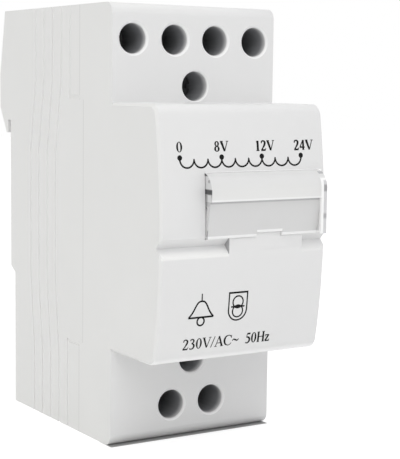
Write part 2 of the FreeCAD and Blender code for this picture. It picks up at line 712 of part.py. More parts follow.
def well_edge(edge, level):
    middle = edge.CenterOfMass
    return (edge.Curve.TypeId == "Part::GeomCircle" and abs(middle.y + shoulder.value) < 0.01
            and abs(abs(middle.z) - level.value) < 0.01
            and abs(edge.Curve.Radius - well_bore.value / 2) < 0.01)


bored = chamfer(cover, bored, lambda edge: well_edge(edge, terminal_z), well_rim)
chamfer(cover, bored, lambda edge: well_edge(edge, post_z), post_rim)

# Label field, rounded hinge recess, hinge bores and finger grooves in the raised front
field_left = -flap_left - flap_gap
field_right = flap_right + flap_gap
catch_top = catch_rise - recess_low
sketch = sketch_on(cover, "YZ_Plane", field_left)
rectangle(sketch, -crown - nose_reach, -recess_floor, catch_top, flap_pivot_z)
pocket(cover, sketch, field_right - field_left, turned=True)
for start, end in ((field_left, catch_left), (catch_right, field_right)):
    sketch = sketch_on(cover, "YZ_Plane", start)
    rectangle(sketch, -crown - nose_reach, -recess_floor, -recess_low, catch_top + merge)
    pocket(cover, sketch, end - start, turned=True)
sketch = sketch_on(cover, "YZ_Plane", field_left)
disc(sketch, -flap_pivot_y, flap_pivot_z, 2 * (flap_roll + roll_gap))
pocket(cover, sketch, field_right - field_left, turned=True)
sketch = sketch_on(cover, "YZ_Plane", field_left - pin_length - flap_gap)
disc(sketch, -flap_pivot_y, flap_pivot_z, pin_width + 2 * pin_gap)
pocket(cover, sketch, half_w - field_left + pin_length + 2 * flap_gap, turned=True)
for start, length in ((-half_w, half_w - grip_left_end),
                      (grip_right_end, half_w - grip_right_end)):
    sketch = sketch_on(cover, "YZ_Plane", start)
    outline(sketch, [
        (-crown - merge, -grip_high), (-crown + grip_depth, -grip_deep),
        (-crown - merge, -grip_low)])
    pocket(cover, sketch, length, turned=True)
pieces.append(cover)

# Clear label window, hinged at its rounded upper end
window = new_body("label_window")
roll_in = flap_roll - flap_sheet
face = -flap_pivot_y - flap_roll
step_z = flap_pivot_z - flap_drop
sketch = sketch_on(window, "YZ_Plane", -flap_left)
outline(sketch, [
    (-flap_pivot_y, flap_pivot_z + flap_roll), (face, flap_pivot_z), (face, step_z),
    (face + flap_step, step_z), (-flap_low_y, -flap_low), (-flap_low_y + flap_sheet, -flap_low),
    (face + flap_step + flap_sheet, step_z), (face + flap_sheet, flap_pivot_z),
    (-flap_pivot_y, flap_pivot_z + roll_in)],
    {0: (flap_roll, 1), 7: (roll_in, -1)})
pad(window, sketch, flap_left + flap_right)
sketch = sketch_on(window, "XZ_Plane", flap_low_y + flap_sheet)
rectangle(sketch, catch_left - flap_gap, catch_right + flap_gap,
          -flap_low - merge, catch_rise - flap_low)
pocket(window, sketch, 3 * flap_sheet)
sketch = sketch_on(window, "YZ_Plane", flap_right - flap_cheek)
outline(sketch, [
    (face, flap_pivot_z), (face, -flap_low), (-flap_low_y + flap_sheet, -flap_low),
    (face + flap_step + flap_sheet, step_z), (face + flap_sheet, flap_pivot_z)])
pad(window, sketch, flap_cheek)
for start in (-flap_left, flap_right - flap_cheek):
    sketch = sketch_on(window, "YZ_Plane", start)
    disc(sketch, -flap_pivot_y, flap_pivot_z, 2 * flap_roll)
    pad(window, sketch, flap_cheek)
for start in (-flap_left - pin_length, flap_right - merge):
    sketch = sketch_on(window, "YZ_Plane", start)
    disc(sketch, -flap_pivot_y, flap_pivot_z, pin_width)
    pad(window, sketch, pin_length + merge)
pieces.append(window)

# Rail clip: a moulded slider with a jaw that grips the lower edge of the rail
clip = new_body("rail_clip")
clip_front = -relief + clip_lift
sketch = sketch_on(clip, "YZ_Plane")
outline(sketch, [
    (clip_front, -clip_top), (-clip_lift, -clip_top), (-clip_lift, -clip_edge),
    (hook_slot, -clip_edge), (hook_slot, -clip_tip), (hook_slot + hook_tip_width, -clip_tip),
    (clip_jaw, -clip_jaw_high), (clip_jaw, -clip_jaw_low), (-clip_lift, -clip_jaw_foot),
    (-clip_lift, -clip_end), (clip_front, -clip_end)])
pad(clip, sketch, clip_width, both=True)
sketch = sketch_on(clip, "XZ_Plane", -clip_front)
rectangle(sketch, -clip_half - clip_flange, clip_half + clip_flange, -clip_end, -clip_top)
pad(clip, sketch, clip_flange_sheet, turned=True)
sketch = sketch_on(clip, "XZ_Plane", relief)
slot_low = -clip_end + clip_slot_margin
rectangle(sketch, -clip_slot_width / 2, clip_slot_width / 2, slot_low, slot_low + clip_slot_height)
pocket(clip, sketch, 2 * relief)
pieces.append(clip)

# Laminated core: a stack of E sheets closed by a stack of I sheets
half_window = core_window / 2
core_mid = core_rear + core_length / 2
near_leg = core_rear + core_leg
far_leg = core_front - core_leg
e_stack = new_body("core_e_stack")
sketch = sketch_on(e_stack, "YZ_Plane")
outline(sketch, [
    (-core_rear, -core_half), (-core_rear, half_window), (-near_leg, half_window),
    (-near_leg, -half_window), (core_middle / 2 - core_mid, -half_window),
    (core_middle / 2 - core_mid, half_window), (-core_middle / 2 - core_mid, half_window),
    (-core_middle / 2 - core_mid, -half_window), (-far_leg, -half_window),
    (-far_leg, half_window), (-core_front, half_window), (-core_front, -core_half)])
pad(e_stack, sketch, core_stack, both=True)
pieces.append(e_stack)
i_stack = new_body("core_i_stack")
sketch = sketch_on(i_stack, "YZ_Plane")
rectangle(sketch, -core_front, -core_rear, half_window, core_half)
pad(i_stack, sketch, core_stack, both=True)
pieces.append(i_stack)

# Two-chamber bobbin on the middle leg
bobbin = new_body("bobbin")
bore_x = half_stack + bobbin_gap
bore_y = core_middle / 2 + bobbin_gap
tube_x = bore_x + bobbin_wall
tube_y = bore_y + bobbin_wall
flange_x = inside_w - coil_side_gap
flange_y = core_length / 2 - core_leg - coil_leg_gap
bobbin_half = half_window - bobbin_gap
sketch = sketch_on(bobbin, "XY_Plane")
rectangle(sketch, -tube_x, tube_x, -core_mid - tube_y, -core_mid + tube_y)
pad(bobbin, sketch, 2 * bobbin_half, both=True)
for level in (-bobbin_half, -bobbin_flange / 2, bobbin_half - bobbin_flange):
    sketch = sketch_on(bobbin, "XY_Plane", level)
    rectangle(sketch, -flange_x, flange_x, -core_mid - flange_y, -core_mid + flange_y)
    pad(bobbin, sketch, bobbin_flange)
sketch = sketch_on(bobbin, "XY_Plane")
rectangle(sketch, -bore_x, bore_x, -core_mid - bore_y, -core_mid + bore_y)
pocket(bobbin, sketch, 2 * core_window, both=True)
pieces.append(bobbin)

# Windings, each with a wrap of insulating tape
coil_x = flange_x - fit - tape_sheet
coil_y = flange_y - fit - tape_sheet
chamber = bobbin_half - bobbin_flange - bobbin_flange / 2 - 2 * fit
for label, tape_label, low in (
        ("primary_winding", "primary_tape", -bobbin_half + bobbin_flange + fit),
        ("secondary_winding", "secondary_tape", bobbin_flange / 2 + fit)):
    winding = new_body(label)
    sketch = sketch_on(winding, "XY_Plane", low)
    cut_rectangle(sketch, -coil_x, coil_x, -core_mid - coil_y, -core_mid + coil_y, coil_cut)
    pad(winding, sketch, chamber)
    sketch = sketch_on(winding, "XY_Plane", low + chamber)
    rectangle(sketch, -tube_x, tube_x, -core_mid - tube_y, -core_mid + tube_y)
    pocket(winding, sketch, chamber)
    pieces.append(winding)
    tape = new_body(tape_label)
    sketch = sketch_on(tape, "XY_Plane", low)
    tape_x = coil_x + tape_sheet
    tape_y = coil_y + tape_sheet
    cut_rectangle(sketch, -tape_x, tape_x, -core_mid - tape_y, -core_mid + tape_y,
                  coil_cut + (2 - root(2)) * tape_sheet)
    pad(tape, sketch, chamber)
    sketch = sketch_on(tape, "XY_Plane", low + chamber)
    cut_rectangle(sketch, -coil_x, coil_x, -core_mid - coil_y, -core_mid + coil_y, coil_cut)
    pocket(tape, sketch, chamber)
    pieces.append(tape)

# Cage clamp: a bent steel cage that draws the wire against the contact strip
clamp = new_body("clamp_pattern")
sketch = sketch_on(clamp, "XY_Plane", terminal_z - clamp_height / 2)
rectangle(sketch, -clamp_width / 2, clamp_width / 2, -clamp_front, -clamp_back)
pad(clamp, sketch, clamp_height)
sketch = sketch_on(clamp, "XY_Plane", terminal_z + clamp_height / 2)
cage = clamp_width / 2 - clamp_sheet
rectangle(sketch, -cage, cage, -clamp_front + clamp_plate, -clamp_back - clamp_plate)
pocket(clamp, sketch, clamp_height)
sketch = sketch_on(clamp, "XZ_Plane", clamp_front)
disc(sketch, zero, terminal_z, screw_shank + fit)
pocket(clamp, sketch, clamp_plate + merge)

# Contact strip: brass, with a narrow tail where the lead is soldered
strip = new_body("strip_pattern")
sketch = sketch_on(strip, "XZ_Plane", strip_front)
strip_half = strip_width / 2
strip_root = deck_high + fit
outline(sketch, [
    (-tail_half, tail_end), (tail_half, tail_end), (tail_half, strip_root),
    (strip_half, strip_root), (strip_half, strip_end), (-strip_half, strip_end),
    (-strip_half, strip_root), (-tail_half, strip_root)])
pad(strip, sketch, strip_sheet, turned=True)

for number, across in enumerate(outputs, 1):
    pieces.append(gather("output_clamp_%d" % number, [place_copy(clamp, across)]))
    pieces.append(gather("output_strip_%d" % number, [place_copy(strip, across)]))
for number, across in enumerate(mains, 1):
    pieces.append(gather("mains_clamp_%d" % number, [place_copy(clamp, across, lower=True)]))
    pieces.append(gather("mains_strip_%d" % number, [place_copy(strip, across, lower=True)]))


def screw(label, head_front, shank, tip):
    """A turned screw with a crossed driver slot, lying along Y."""
    piece = new_body(label)
    radius = screw_head / 2
    profile = sketch_on(piece, "YZ_Plane")
    under = head_front - screw_head_depth
    outline(profile, [
        (-head_front, zero), (-head_front, radius), (-under, radius), (-under, shank / 2),
        (-tip, shank / 2), (-tip, zero)])
    turn_profile(piece, profile)
    half_slot = screw_slot / 2
    for wide, high in ((radius + merge, half_slot), (half_slot, radius * 0.6)):
        slot = sketch_on(piece, "XZ_Plane", head_front)
        rectangle(slot, -wide, wide, -high, high)
        pocket(piece, slot, screw_slot_depth)
    return piece


# Screws of the terminals and of the cover
clamp_screw = screw("clamp_screw_pattern", well_end - head_gap, screw_shank, strip_front + fit)
copies = [place_copy(clamp_screw, across, terminal_z) for across in outputs]
copies += [place_copy(clamp_screw, across, -terminal_z) for across in mains]
pieces.append(gather("terminal_screws", copies))
head_seat = seat_depth + seat_sheet + fit
cover_screw = screw("cover_screw_pattern", head_seat + screw_head_depth, cover_shank,
                    head_seat - cover_shank_length)
pieces.append(gather("cover_screws", [place_copy(cover_screw, zero, post_z),
                                      place_copy(cover_screw, zero, -post_z)]))


def lead(label, route):
    """A square tinned wire that follows a route at the back of the contact strips."""
    piece = new_body(label)
    depth = strip_front - strip_sheet - lead_width / 2
    path = sketch_on(piece, "XZ_Plane", depth)
    outline(path, route, closed=False)
    section = sketch_on(piece, "XY_Plane", route[0][1])
    start = route[0][0]
    half = lead_width / 2
    rectangle(section, start - half, start + half, -depth - half, half - depth)
    doc.recompute()
    pipe = piece.newObject("PartDesign::AdditivePipe", label + "_pipe")
    pipe.Profile = section
    pipe.Spine = (path, ["Edge%d" % (n + 1) for n in range(len(route) - 1)])
    pipe.Transition = "Right corner"
    doc.recompute()
    pieces.append(piece)


# Leads from the windings to the contact strips, and the thermal fuse in one mains lead
fuse_top = bobbin_half + fuse_drop
for number, across in enumerate(outputs, 1):
    start = lead_outer if number in (1, 4) else lead_inner
    start = -start if number < 3 else start
    lead("output_lead_%d" % number, [
        (start, bobbin_half), (start, lead_bend_low), (across, lead_bend_high),
        (across, lead_end)])
lead("mains_lead_1", [
    (-lead_inner, -bobbin_half), (-lead_inner, -lead_bend_low), (mains[0], -lead_bend_high),
    (mains[0], -lead_end)])
lead("mains_lead_2", [(lead_outer, -bobbin_half), (lead_outer, -fuse_top)])
lead("fuse_lead", [
    (lead_outer, -fuse_top - fuse_length), (lead_outer, -lead_bend_low - lead_width),
    (mains[1], -lead_bend_high), (mains[1], -lead_end)])
fuse = new_body("thermal_fuse")
sketch = sketch_on(fuse, "XY_Plane", -fuse_top - fuse_length)
disc(sketch, lead_outer, -(strip_front - strip_sheet - lead_width / 2), fuse_width)
pad(fuse, sketch, fuse_length)
pieces.append(fuse)

# Files, one for each piece
doc.recompute()
for item in doc.Objects:
    if "Invalid" in item.State or "Error" in item.State:
        raise RuntimeError("%s did not build" % item.Label)
os.makedirs("parts", exist_ok=True)
for piece in pieces:
    shape = piece.Shape
    if shape.isNull() or not shape.isValid() or not shape.Solids:
        raise RuntimeError("%s has no valid solid" % piece.Label)
    if len(shape.Solids) == 1:
        shape = shape.Solids[0]
    shape.exportStep(os.path.join("parts", piece.Label + ".step"))
    print(piece.Label, len(piece.Shape.Solids), round(piece.Shape.Volume, 1), piece.Shape.BoundBox)
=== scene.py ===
import math
import bpy
from mathutils import Matrix, Vector


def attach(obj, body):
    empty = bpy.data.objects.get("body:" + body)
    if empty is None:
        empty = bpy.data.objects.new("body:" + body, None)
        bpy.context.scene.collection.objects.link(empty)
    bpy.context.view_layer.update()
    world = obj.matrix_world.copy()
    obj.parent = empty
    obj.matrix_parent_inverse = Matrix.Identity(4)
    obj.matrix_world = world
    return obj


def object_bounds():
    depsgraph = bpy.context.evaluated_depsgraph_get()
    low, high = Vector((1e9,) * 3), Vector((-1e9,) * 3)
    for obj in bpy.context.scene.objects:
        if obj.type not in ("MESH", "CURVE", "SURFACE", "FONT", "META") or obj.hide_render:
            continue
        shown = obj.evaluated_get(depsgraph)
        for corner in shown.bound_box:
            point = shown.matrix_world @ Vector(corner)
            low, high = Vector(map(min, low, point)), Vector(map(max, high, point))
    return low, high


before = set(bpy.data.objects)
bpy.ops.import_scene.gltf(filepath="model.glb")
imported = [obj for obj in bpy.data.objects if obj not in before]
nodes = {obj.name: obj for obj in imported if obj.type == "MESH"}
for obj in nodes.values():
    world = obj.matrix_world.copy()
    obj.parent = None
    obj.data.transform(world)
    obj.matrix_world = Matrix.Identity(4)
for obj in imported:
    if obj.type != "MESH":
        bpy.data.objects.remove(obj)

cad_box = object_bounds()

# Rear base: the box at the back that hooks on to the rail and carries the terminals. It is
# injection moulded in light grey polycarbonate with a fine satin grain. The grooves of its
# sides are part of the mould and are coloured lighter as painted light against the shade in
# them, and a fine line shows where the cover meets it.


class Socket:
    """One output of a finish; arithmetic on it adds Math nodes to that finish."""

    def __init__(self, finish, out):
        self.finish = finish
        self.out = out

    def combine(self, operation, *values):
        return self.finish.node("ShaderNodeMath", {"operation": operation}, dict(enumerate(values)))

    def __add__(self, other):
        return self.combine("ADD", self, other)

    def __radd__(self, other):
        return self.combine("ADD", other, self)

    def __sub__(self, other):
        return self.combine("SUBTRACT", self, other)

    def __rsub__(self, other):
        return self.combine("SUBTRACT", other, self)

    def __mul__(self, other):
        return self.combine("MULTIPLY", self, other)

    def __rmul__(self, other):
        return self.combine("MULTIPLY", other, self)

    def __truediv__(self, other):
        return self.combine("DIVIDE", self, other)

    def __rtruediv__(self, other):
        return self.combine("DIVIDE", other, self)

    def __abs__(self):
        return self.combine("ABSOLUTE", self)

    def __gt__(self, other):
        return self.combine("GREATER_THAN", self, other)

    def __lt__(self, other):
        return self.combine("LESS_THAN", self, other)

    def between(self, low, high):
        return (self > low) * (self < high)

    def larger(self, other):
        return self.combine("MAXIMUM", self, other)

    def smaller(self, other):
        return self.combine("MINIMUM", self, other)


class Finish:
    """The nodes of one material, or of the world, added one at a time."""

    def __init__(self, owner):
        owner.use_nodes = True
        self.owner = owner
        self.tree = owner.node_tree
        self.tree.nodes.clear()

    def node(self, kind, settings=None, sockets=None, result=0):
        made = self.tree.nodes.new(kind)
        for name, value in (settings or {}).items():
            setattr(made, name, value)
        for name, value in (sockets or {}).items():
            if isinstance(value, Socket):
                self.tree.links.new(value.out, made.inputs[name])
            else:
                made.inputs[name].default_value = value
        return Socket(self, made.outputs[result]) if made.outputs else made

    def point(self):
        """Where a point lies on its own piece, in metres."""
        return self.node("ShaderNodeTexCoord", result="Object")

    def place(self):
        """The same as three lengths: to the right, to the back and up."""
        split = self.node("ShaderNodeSeparateXYZ", None, {"Vector": self.point()}).out.node
        return [Socket(self, out) for out in split.outputs]

    def noise(self, scale, detail=2.0, stretch=(1.0, 1.0, 1.0)):
        point = self.node("ShaderNodeMapping", None, {"Vector": self.point(), "Scale": stretch})
        return self.node("ShaderNodeTexNoise", None,
                         {"Vector": point, "Scale": scale, "Detail": detail})

    def blend(self, share, first, second):
        return self.node("ShaderNodeMix", {"data_type": "RGBA"},
                         {0: share, 6: first, 7: second}, result=2)

    def edge(self, value, low, high):
        """0 below low, 1 above high, and a smooth rise between them."""
        return self.node("ShaderNodeMapRange", {"interpolation_type": "SMOOTHSTEP"},
                         {"Value": value, "From Min": low, "From Max": high})

    def bump(self, height, strength, distance):
        return self.node("ShaderNodeBump", None,
                         {"Height": height, "Strength": strength, "Distance": distance})

    def surface(self, **sockets):
        named = {name.replace("_", " "): value for name, value in sockets.items()}
        shader = self.node("ShaderNodeBsdfPrincipled", None, named)
        self.node("ShaderNodeOutputMaterial", None, {"Surface": shader})
        return self.owner


def shade(red, green, blue):
    """A colour as it is seen on a screen, from 0 to 255, as the shader wants it."""
    parts = [part / 255 for part in (red, green, blue)]
    return tuple(p / 12.92 if p <= 0.04045 else ((p + 0.055) / 1.055) ** 2.4 for p in parts) + (1.0,)


def paint(material, *names):
    """Gives pieces of the model this material alone."""
    for name in names:
        slots = nodes[name].data.materials
        slots.clear()
        slots.append(material)


def soften(name, width):
    """Breaks the sharp edges of a moulding by a small radius."""
    weld = nodes[name].modifiers.new("joined", "WELD")
    weld.merge_threshold = 0.000002
    bevel = nodes[name].modifiers.new("broken_edges", "BEVEL")
    bevel.width = width
    bevel.segments = 2
    bevel.limit_method = "ANGLE"
    bevel.angle_limit = math.radians(38)
    bevel.harden_normals = True


flow_share = 0.75


def moulded(finish, dark, light, flow_scale=70.0):
    """A satin moulding: its colour, with the streaks of its flow, its fine grain and its relief."""
    flow = finish.noise(flow_scale, detail=3.0)
    grain = finish.noise(4800.0, detail=2.0)
    colour = finish.blend(flow * flow_share + grain * (1 - flow_share), dark, light)
    return colour, grain, finish.bump(grain, strength=0.10, distance=0.00003)


housing_light = shade(232, 232, 232)
housing_dark = shade(227, 227, 227)
painted_groove_light_tone = shade(235, 235, 235)
joint_tone = shade(214, 214, 214)
plastic_index = 1.5
housing_edge = 0.00015
side_face = 0.0175
side_skin = 0.00004
groove_depth = 0.0004
joint_end = -0.0309
joint_margin = 0.0004
joint_half = 0.0228
joint_step = 0.0015
joint_line = 0.00022
joint_depth = 0.0006

plastic = Finish(bpy.data.materials.new("moulded_base"))
x, y, z = plastic.place()
skin, grain, relief = moulded(plastic, housing_dark, housing_light)
# Painted light: the side grooves are coloured lighter to take out the shade that falls in them.
painted_light_in_grooves = abs(x).between(side_face - groove_depth, side_face - side_skin) * (y > joint_end + joint_margin)
skin = plastic.blend(painted_light_in_grooves, skin, painted_groove_light_tone)
beyond_joint = y - (joint_end - joint_step * (abs(z) < joint_half))
joint_edge = (beyond_joint < joint_line) * (abs(x) > side_face - joint_depth)
paint(plastic.surface(
    Base_Color=plastic.blend(joint_edge, skin, joint_tone),
    Roughness=0.40 + grain * 0.14,
    Normal=relief,
    IOR=plastic_index), "rear_base")
soften("rear_base", housing_edge)

# Laminated core: thin sheets of silicon steel, stacked and varnished, E sheets from below
# and I sheets across the top. The sheets show as fine dark lines along the stack.
varnish_dark = shade(58, 58, 60)
varnish_light = shade(92, 90, 88)
sheet_pitch = 0.0005


def ridges(finish, length, pitch):
    """1 halfway across each sheet or turn of this pitch, and 0 between them."""
    half = pitch / 2
    return finish.node("ShaderNodeMath", {"operation": "PINGPONG"}, {0: length, 1: half}) / half


core = Finish(bpy.data.materials.new("varnished_sheets"))
sheets = ridges(core, core.place()[0], sheet_pitch)
mottle = core.noise(420.0, detail=3.0)
paint(core.surface(
    Base_Color=core.blend(mottle, varnish_dark, varnish_light),
    Metallic=0.55 + mottle * 0.2,
    Roughness=0.35 + mottle * 0.25,
    Normal=core.bump(sheets, strength=0.5, distance=0.00008)), "core_e_stack", "core_i_stack")

# Bobbin: the two-chamber former that keeps the windings apart. It is moulded in natural
# white nylon and slid over the middle leg of the core.
nylon_dark = shade(233, 230, 218)
nylon_light = shade(243, 241, 233)
bobbin = Finish(bpy.data.materials.new("natural_nylon"))
milky = bobbin.noise(160.0, detail=3.0)
paint(bobbin.surface(
    Base_Color=bobbin.blend(milky, nylon_dark, nylon_light),
    Roughness=0.42 + milky * 0.15,
    Normal=bobbin.bump(bobbin.noise(3600.0), strength=0.1, distance=0.00003)), "bobbin")

# Windings: enamelled copper wire wound in level layers, the fine mains wire below and the
# thicker bell wire above. Each turn shows as a ridge round the coil.
copper_dark = shade(150, 78, 42)
copper_light = shade(196, 112, 66)
wire_pitch = {"primary_winding": 0.00016, "secondary_winding": 0.00042}
for name, pitch in wire_pitch.items():
    copper = Finish(bpy.data.materials.new(name + "_wire"))
    turns = ridges(copper, copper.place()[2], pitch)
    enamel = copper.noise(300.0, detail=2.0)
    paint(copper.surface(
        Base_Color=copper.blend(enamel, copper_dark, copper_light),
        Metallic=0.85,
        Roughness=0.28 + enamel * 0.15,
        Coat_Weight=0.4,
        Normal=copper.bump(turns, strength=0.7, distance=0.00006)), name)

# Insulating tape: one wrap of yellow polyester film round each coil, which holds its wire.
# It is wound on by hand and stays slightly creased.
tape_dark = shade(214, 172, 48)
tape_light = shade(232, 196, 78)
tape = Finish(bpy.data.materials.new("polyester_tape"))
crease = tape.noise(240.0, detail=4.0, stretch=(1.0, 1.0, 0.15))
paint(tape.surface(
    Base_Color=tape.blend(crease, tape_dark, tape_light),
    Roughness=0.22 + crease * 0.15,
    Coat_Weight=0.3,
    Normal=tape.bump(crease, strength=0.35, distance=0.00012)), "primary_tape", "secondary_tape")

# Contact strips: six flat bars that carry the current from the leads to the clamps. They are
# punched from rolled brass sheet, each with a narrow tail that takes its lead.
brass_dark = shade(186, 148, 74)
brass_light = shade(214, 178, 104)


def at_terminals(kind):
    """The names of six like pieces, one at each bell terminal and each mains terminal."""
    bell_side = ["output_%s_%d" % (kind, number) for number in (1, 2, 3, 4)]
    return bell_side + ["mains_%s_%d" % (kind, number) for number in (1, 2)]


brass = Finish(bpy.data.materials.new("rolled_brass"))
rolled = brass.noise(900.0, detail=3.0, stretch=(1.0, 1.0, 0.06))
paint(brass.surface(
    Base_Color=brass.blend(rolled, brass_dark, brass_light),
    Metallic=1.0,
    Roughness=0.30 + rolled * 0.18,
    Normal=brass.bump(rolled, strength=0.15, distance=0.00003)), *at_terminals("strip"))

# Cage clamps: six boxes that draw a wire against its contact strip. They are bent from zinc
# plated steel strip and have a threaded front for the screw.
zinc_dark = shade(168, 170, 170)
zinc_light = shade(202, 203, 200)
zinc = Finish(bpy.data.materials.new("zinc_plated_clamps"))
bloom = zinc.noise(700.0, detail=3.0)
paint(zinc.surface(
    Base_Color=zinc.blend(bloom, zinc_dark, zinc_light),
    Metallic=1.0,
    Roughness=0.30 + bloom * 0.2,
    Normal=zinc.bump(bloom, strength=0.12, distance=0.00003)), *at_terminals("clamp"))

# Leads: square tinned copper wires from the windings to the tails of the strips. They are
# soldered there with a dull joint.
tin_dark = shade(176, 178, 178)
tin_light = shade(208, 208, 205)
tin = Finish(bpy.data.materials.new("tinned_wire"))
dull = tin.noise(1300.0, detail=3.0)
paint(tin.surface(
    Base_Color=tin.blend(dull, tin_dark, tin_light),
    Metallic=0.95,
    Roughness=0.32 + dull * 0.25,
    Normal=tin.bump(dull, strength=0.2, distance=0.00004)), *at_terminals("lead"), "fuse_lead")

# Thermal fuse: a small ceramic body that cuts off the mains when the coil is too hot. Its
# skin is glazed, and it is soldered into one of the mains leads.
ceramic_dark = shade(222, 214, 196)
ceramic_light = shade(238, 232, 218)
ceramic = Finish(bpy.data.materials.new("glazed_ceramic"))
speck = ceramic.noise(1500.0, detail=2.0)
paint(ceramic.surface(
    Base_Color=ceramic.blend(speck, ceramic_dark, ceramic_light),
    Roughness=0.2 + speck * 0.12,
    Coat_Weight=0.5,
    Normal=ceramic.bump(speck, strength=0.1, distance=0.00003)), "thermal_fuse")

# Screws of the terminals and of the cover: turned steel, coloured dark as painted shade for
# the depth of the wells, with a slot for the driver. They lie at the bottom of the wells, the
# cover's two in posts of the base.
screw_shade_dark = shade(64, 64, 65)
screw_shade_light = shade(92, 92, 91)
screw = Finish(bpy.data.materials.new("shade_darkened_screws"))
turned = screw.noise(1100.0, detail=3.0)
paint(screw.surface(
    Base_Color=screw.blend(turned, screw_shade_dark, screw_shade_light),
    Metallic=1.0,
    Roughness=0.36 + turned * 0.2,
    Normal=screw.bump(turned, strength=0.2, distance=0.00004)), "terminal_screws", "cover_screws")

# Front cover: the shoulders with their screwdriver wells and the bowed raised front. It is
# moulded in the same light grey as the base and held by two screws from the front. Its rims
# and the lips of its grips carry painted highlights, its wells and grips carry painted shade,
# and a painted glow stands for the light in the gaps at the flap.
shoulder_face = -0.0432
nose_top = 0.0226
nose_corner = 0.0003
grip_ends = (-0.0035, 0.0122)
cover = Finish(bpy.data.materials.new("moulded_cover"))
x, y, z = cover.place()
skin, grain, relief = moulded(cover, housing_dark, housing_light)
inside_corners = abs(x) < side_face - nose_corner

well_row = 0.0339
well_centre = 0.0255
well_pitch = 0.00875
well_radius = 0.00282
well_fade = 0.0022
well_shade_tone = shade(146, 147, 150)
row_across = abs(abs(abs(x) - well_pitch) - well_pitch / 2)
row_up = abs(z) - well_row
centre_up = abs(z) - well_centre
to_row = row_across * row_across + row_up * row_up
to_centre = x * x + centre_up * centre_up
to_well = to_row.smaller(to_centre)
# Painted shade: each well darkens with depth, standing for the shade inside it.
painted_well_shade = (to_well < well_radius ** 2) * cover.edge(y, shoulder_face, shoulder_face + well_fade)

well_rim_radius = 0.00316
well_rim_front = shoulder_face + 0.00003
well_rim_back = shoulder_face + 0.0005
rim_highlight_tone = shade(248, 248, 248)
# Painted highlight: a bright ring on the rim of each well.
painted_rim_highlight = (to_well < well_rim_radius ** 2) * y.between(well_rim_front, well_rim_back) * (abs(z) > nose_top)
skin = cover.blend(painted_rim_highlight, skin, rim_highlight_tone)

lip_start = (-0.0041, -0.0037)
lip_end = (-0.0034, -0.0022)
lip_depth = -0.0585
right_lip_highlight_share = 0.3
lip_highlight_tone = shade(243, 243, 242)
beside_catch = (x < grip_ends[0]).larger((x > grip_ends[1]) * right_lip_highlight_share)
# Painted highlight: the up-facing lower lip of each finger groove is coloured lighter, less on the right.
painted_lip_highlight = cover.edge(z, *lip_start) * (1 - cover.edge(z, *lip_end)) * beside_catch
skin = cover.blend(painted_lip_highlight * (y < lip_depth) * inside_corners, skin, lip_highlight_tone)

foot_rim_fade = (-0.0221, -0.0211)
foot_rim_depth = -0.0530
foot_rim_highlight_share = 0.85
foot_rim_highlight_tone = shade(254, 254, 254)
# Painted highlight: the rounded lower edge of the bowed front is coloured lighter, as if lit from the table
# below.
foot_rim_highlight = (1 - cover.edge(z, *foot_rim_fade)) * (z > -nose_top) * (y < foot_rim_depth) * inside_corners
skin = cover.blend(foot_rim_highlight * foot_rim_highlight_share, skin, foot_rim_highlight_tone)

grip_depths = (-0.0602, -0.0591)
grip_heights = (-0.0034, -0.0003)
left_grip_shade = 0.30
right_grip_shade = 0.10
grip_shade_tone = shade(198, 198, 199)
# Painted shade: the deep part of each finger groove is coloured darker, most on the left.
in_grip = cover.edge(y, *grip_depths) * z.between(*grip_heights) * (abs(x) < side_face)
grip_painted_shade = (x < grip_ends[0]) * left_grip_shade + (x > grip_ends[1]) * right_grip_shade
skin = cover.blend(in_grip * grip_painted_shade, skin, grip_shade_tone)

grip_wall_width = 0.00008
grip_wall_heights = (-0.0038, -0.0002)
grip_wall_depth = -0.0605
grip_wall_shade_tone = shade(172, 172, 174)
at_wall = abs(x - grip_ends[0]) < grip_wall_width
# Painted shade: the end wall of the left finger groove, beside the catch, is coloured dark.
grip_wall_shade = at_wall * z.between(*grip_wall_heights) * (y > grip_wall_depth)
skin = cover.blend(grip_wall_shade, skin, grip_wall_shade_tone)

flap_pivot = (-0.0591, 0.00765)
roll_reach = 0.0034
roll_left = (-0.0086, -0.0084)
roll_right = 0.0166
roll_fade = (0.0098, 0.0102)
ledge_heights = (-0.0011, 0.0001)
ledge_depth = -0.06055
ledge_share = 0.20
painted_glow_tone = shade(166, 166, 166)
no_glow = shade(0, 0, 0)
from_pivot_y = y - flap_pivot[0]
from_pivot_z = z - flap_pivot[1]
to_pivot = from_pivot_y * from_pivot_y + from_pivot_z * from_pivot_z
along_roll = cover.edge(x, *roll_left) * (x < roll_right)
# Painted glow: an emission over the flap's roll and on the ledge under its lower edge stands for light
# through the clear flap.
over_roll = cover.edge(z, *roll_fade) * (to_pivot < roll_reach ** 2) * along_roll
ledge = x.between(*grip_ends) * z.between(*ledge_heights) * (y > ledge_depth)
painted_gap_glow = over_roll.larger(ledge * ledge_share)

paint(cover.surface(
    Base_Color=cover.blend(painted_well_shade, skin, well_shade_tone),
    Roughness=0.40 + grain * 0.14,
    Normal=relief,
    Emission_Color=cover.blend(painted_gap_glow, no_glow, painted_glow_tone),
    Emission_Strength=1.0,
    IOR=plastic_index), "front_cover")
soften("front_cover", housing_edge)

# Printed marks of the outputs: plain figures over the winding symbol, in black pad print on
# the bowed front. The ink follows the bow and stands a hair proud of it.
bow_radius = 0.120
bow_crown = 0.0606
ink_height = 0.00002
film_share = 1.6
in_a_metre = 1000


def on_bow(across, up):
    """A point of the bowed front, in metres, just clear of its surface."""
    drop = bow_radius - math.sqrt(bow_radius * bow_radius - up * up)
    return (across, -(bow_crown - drop + ink_height), up)


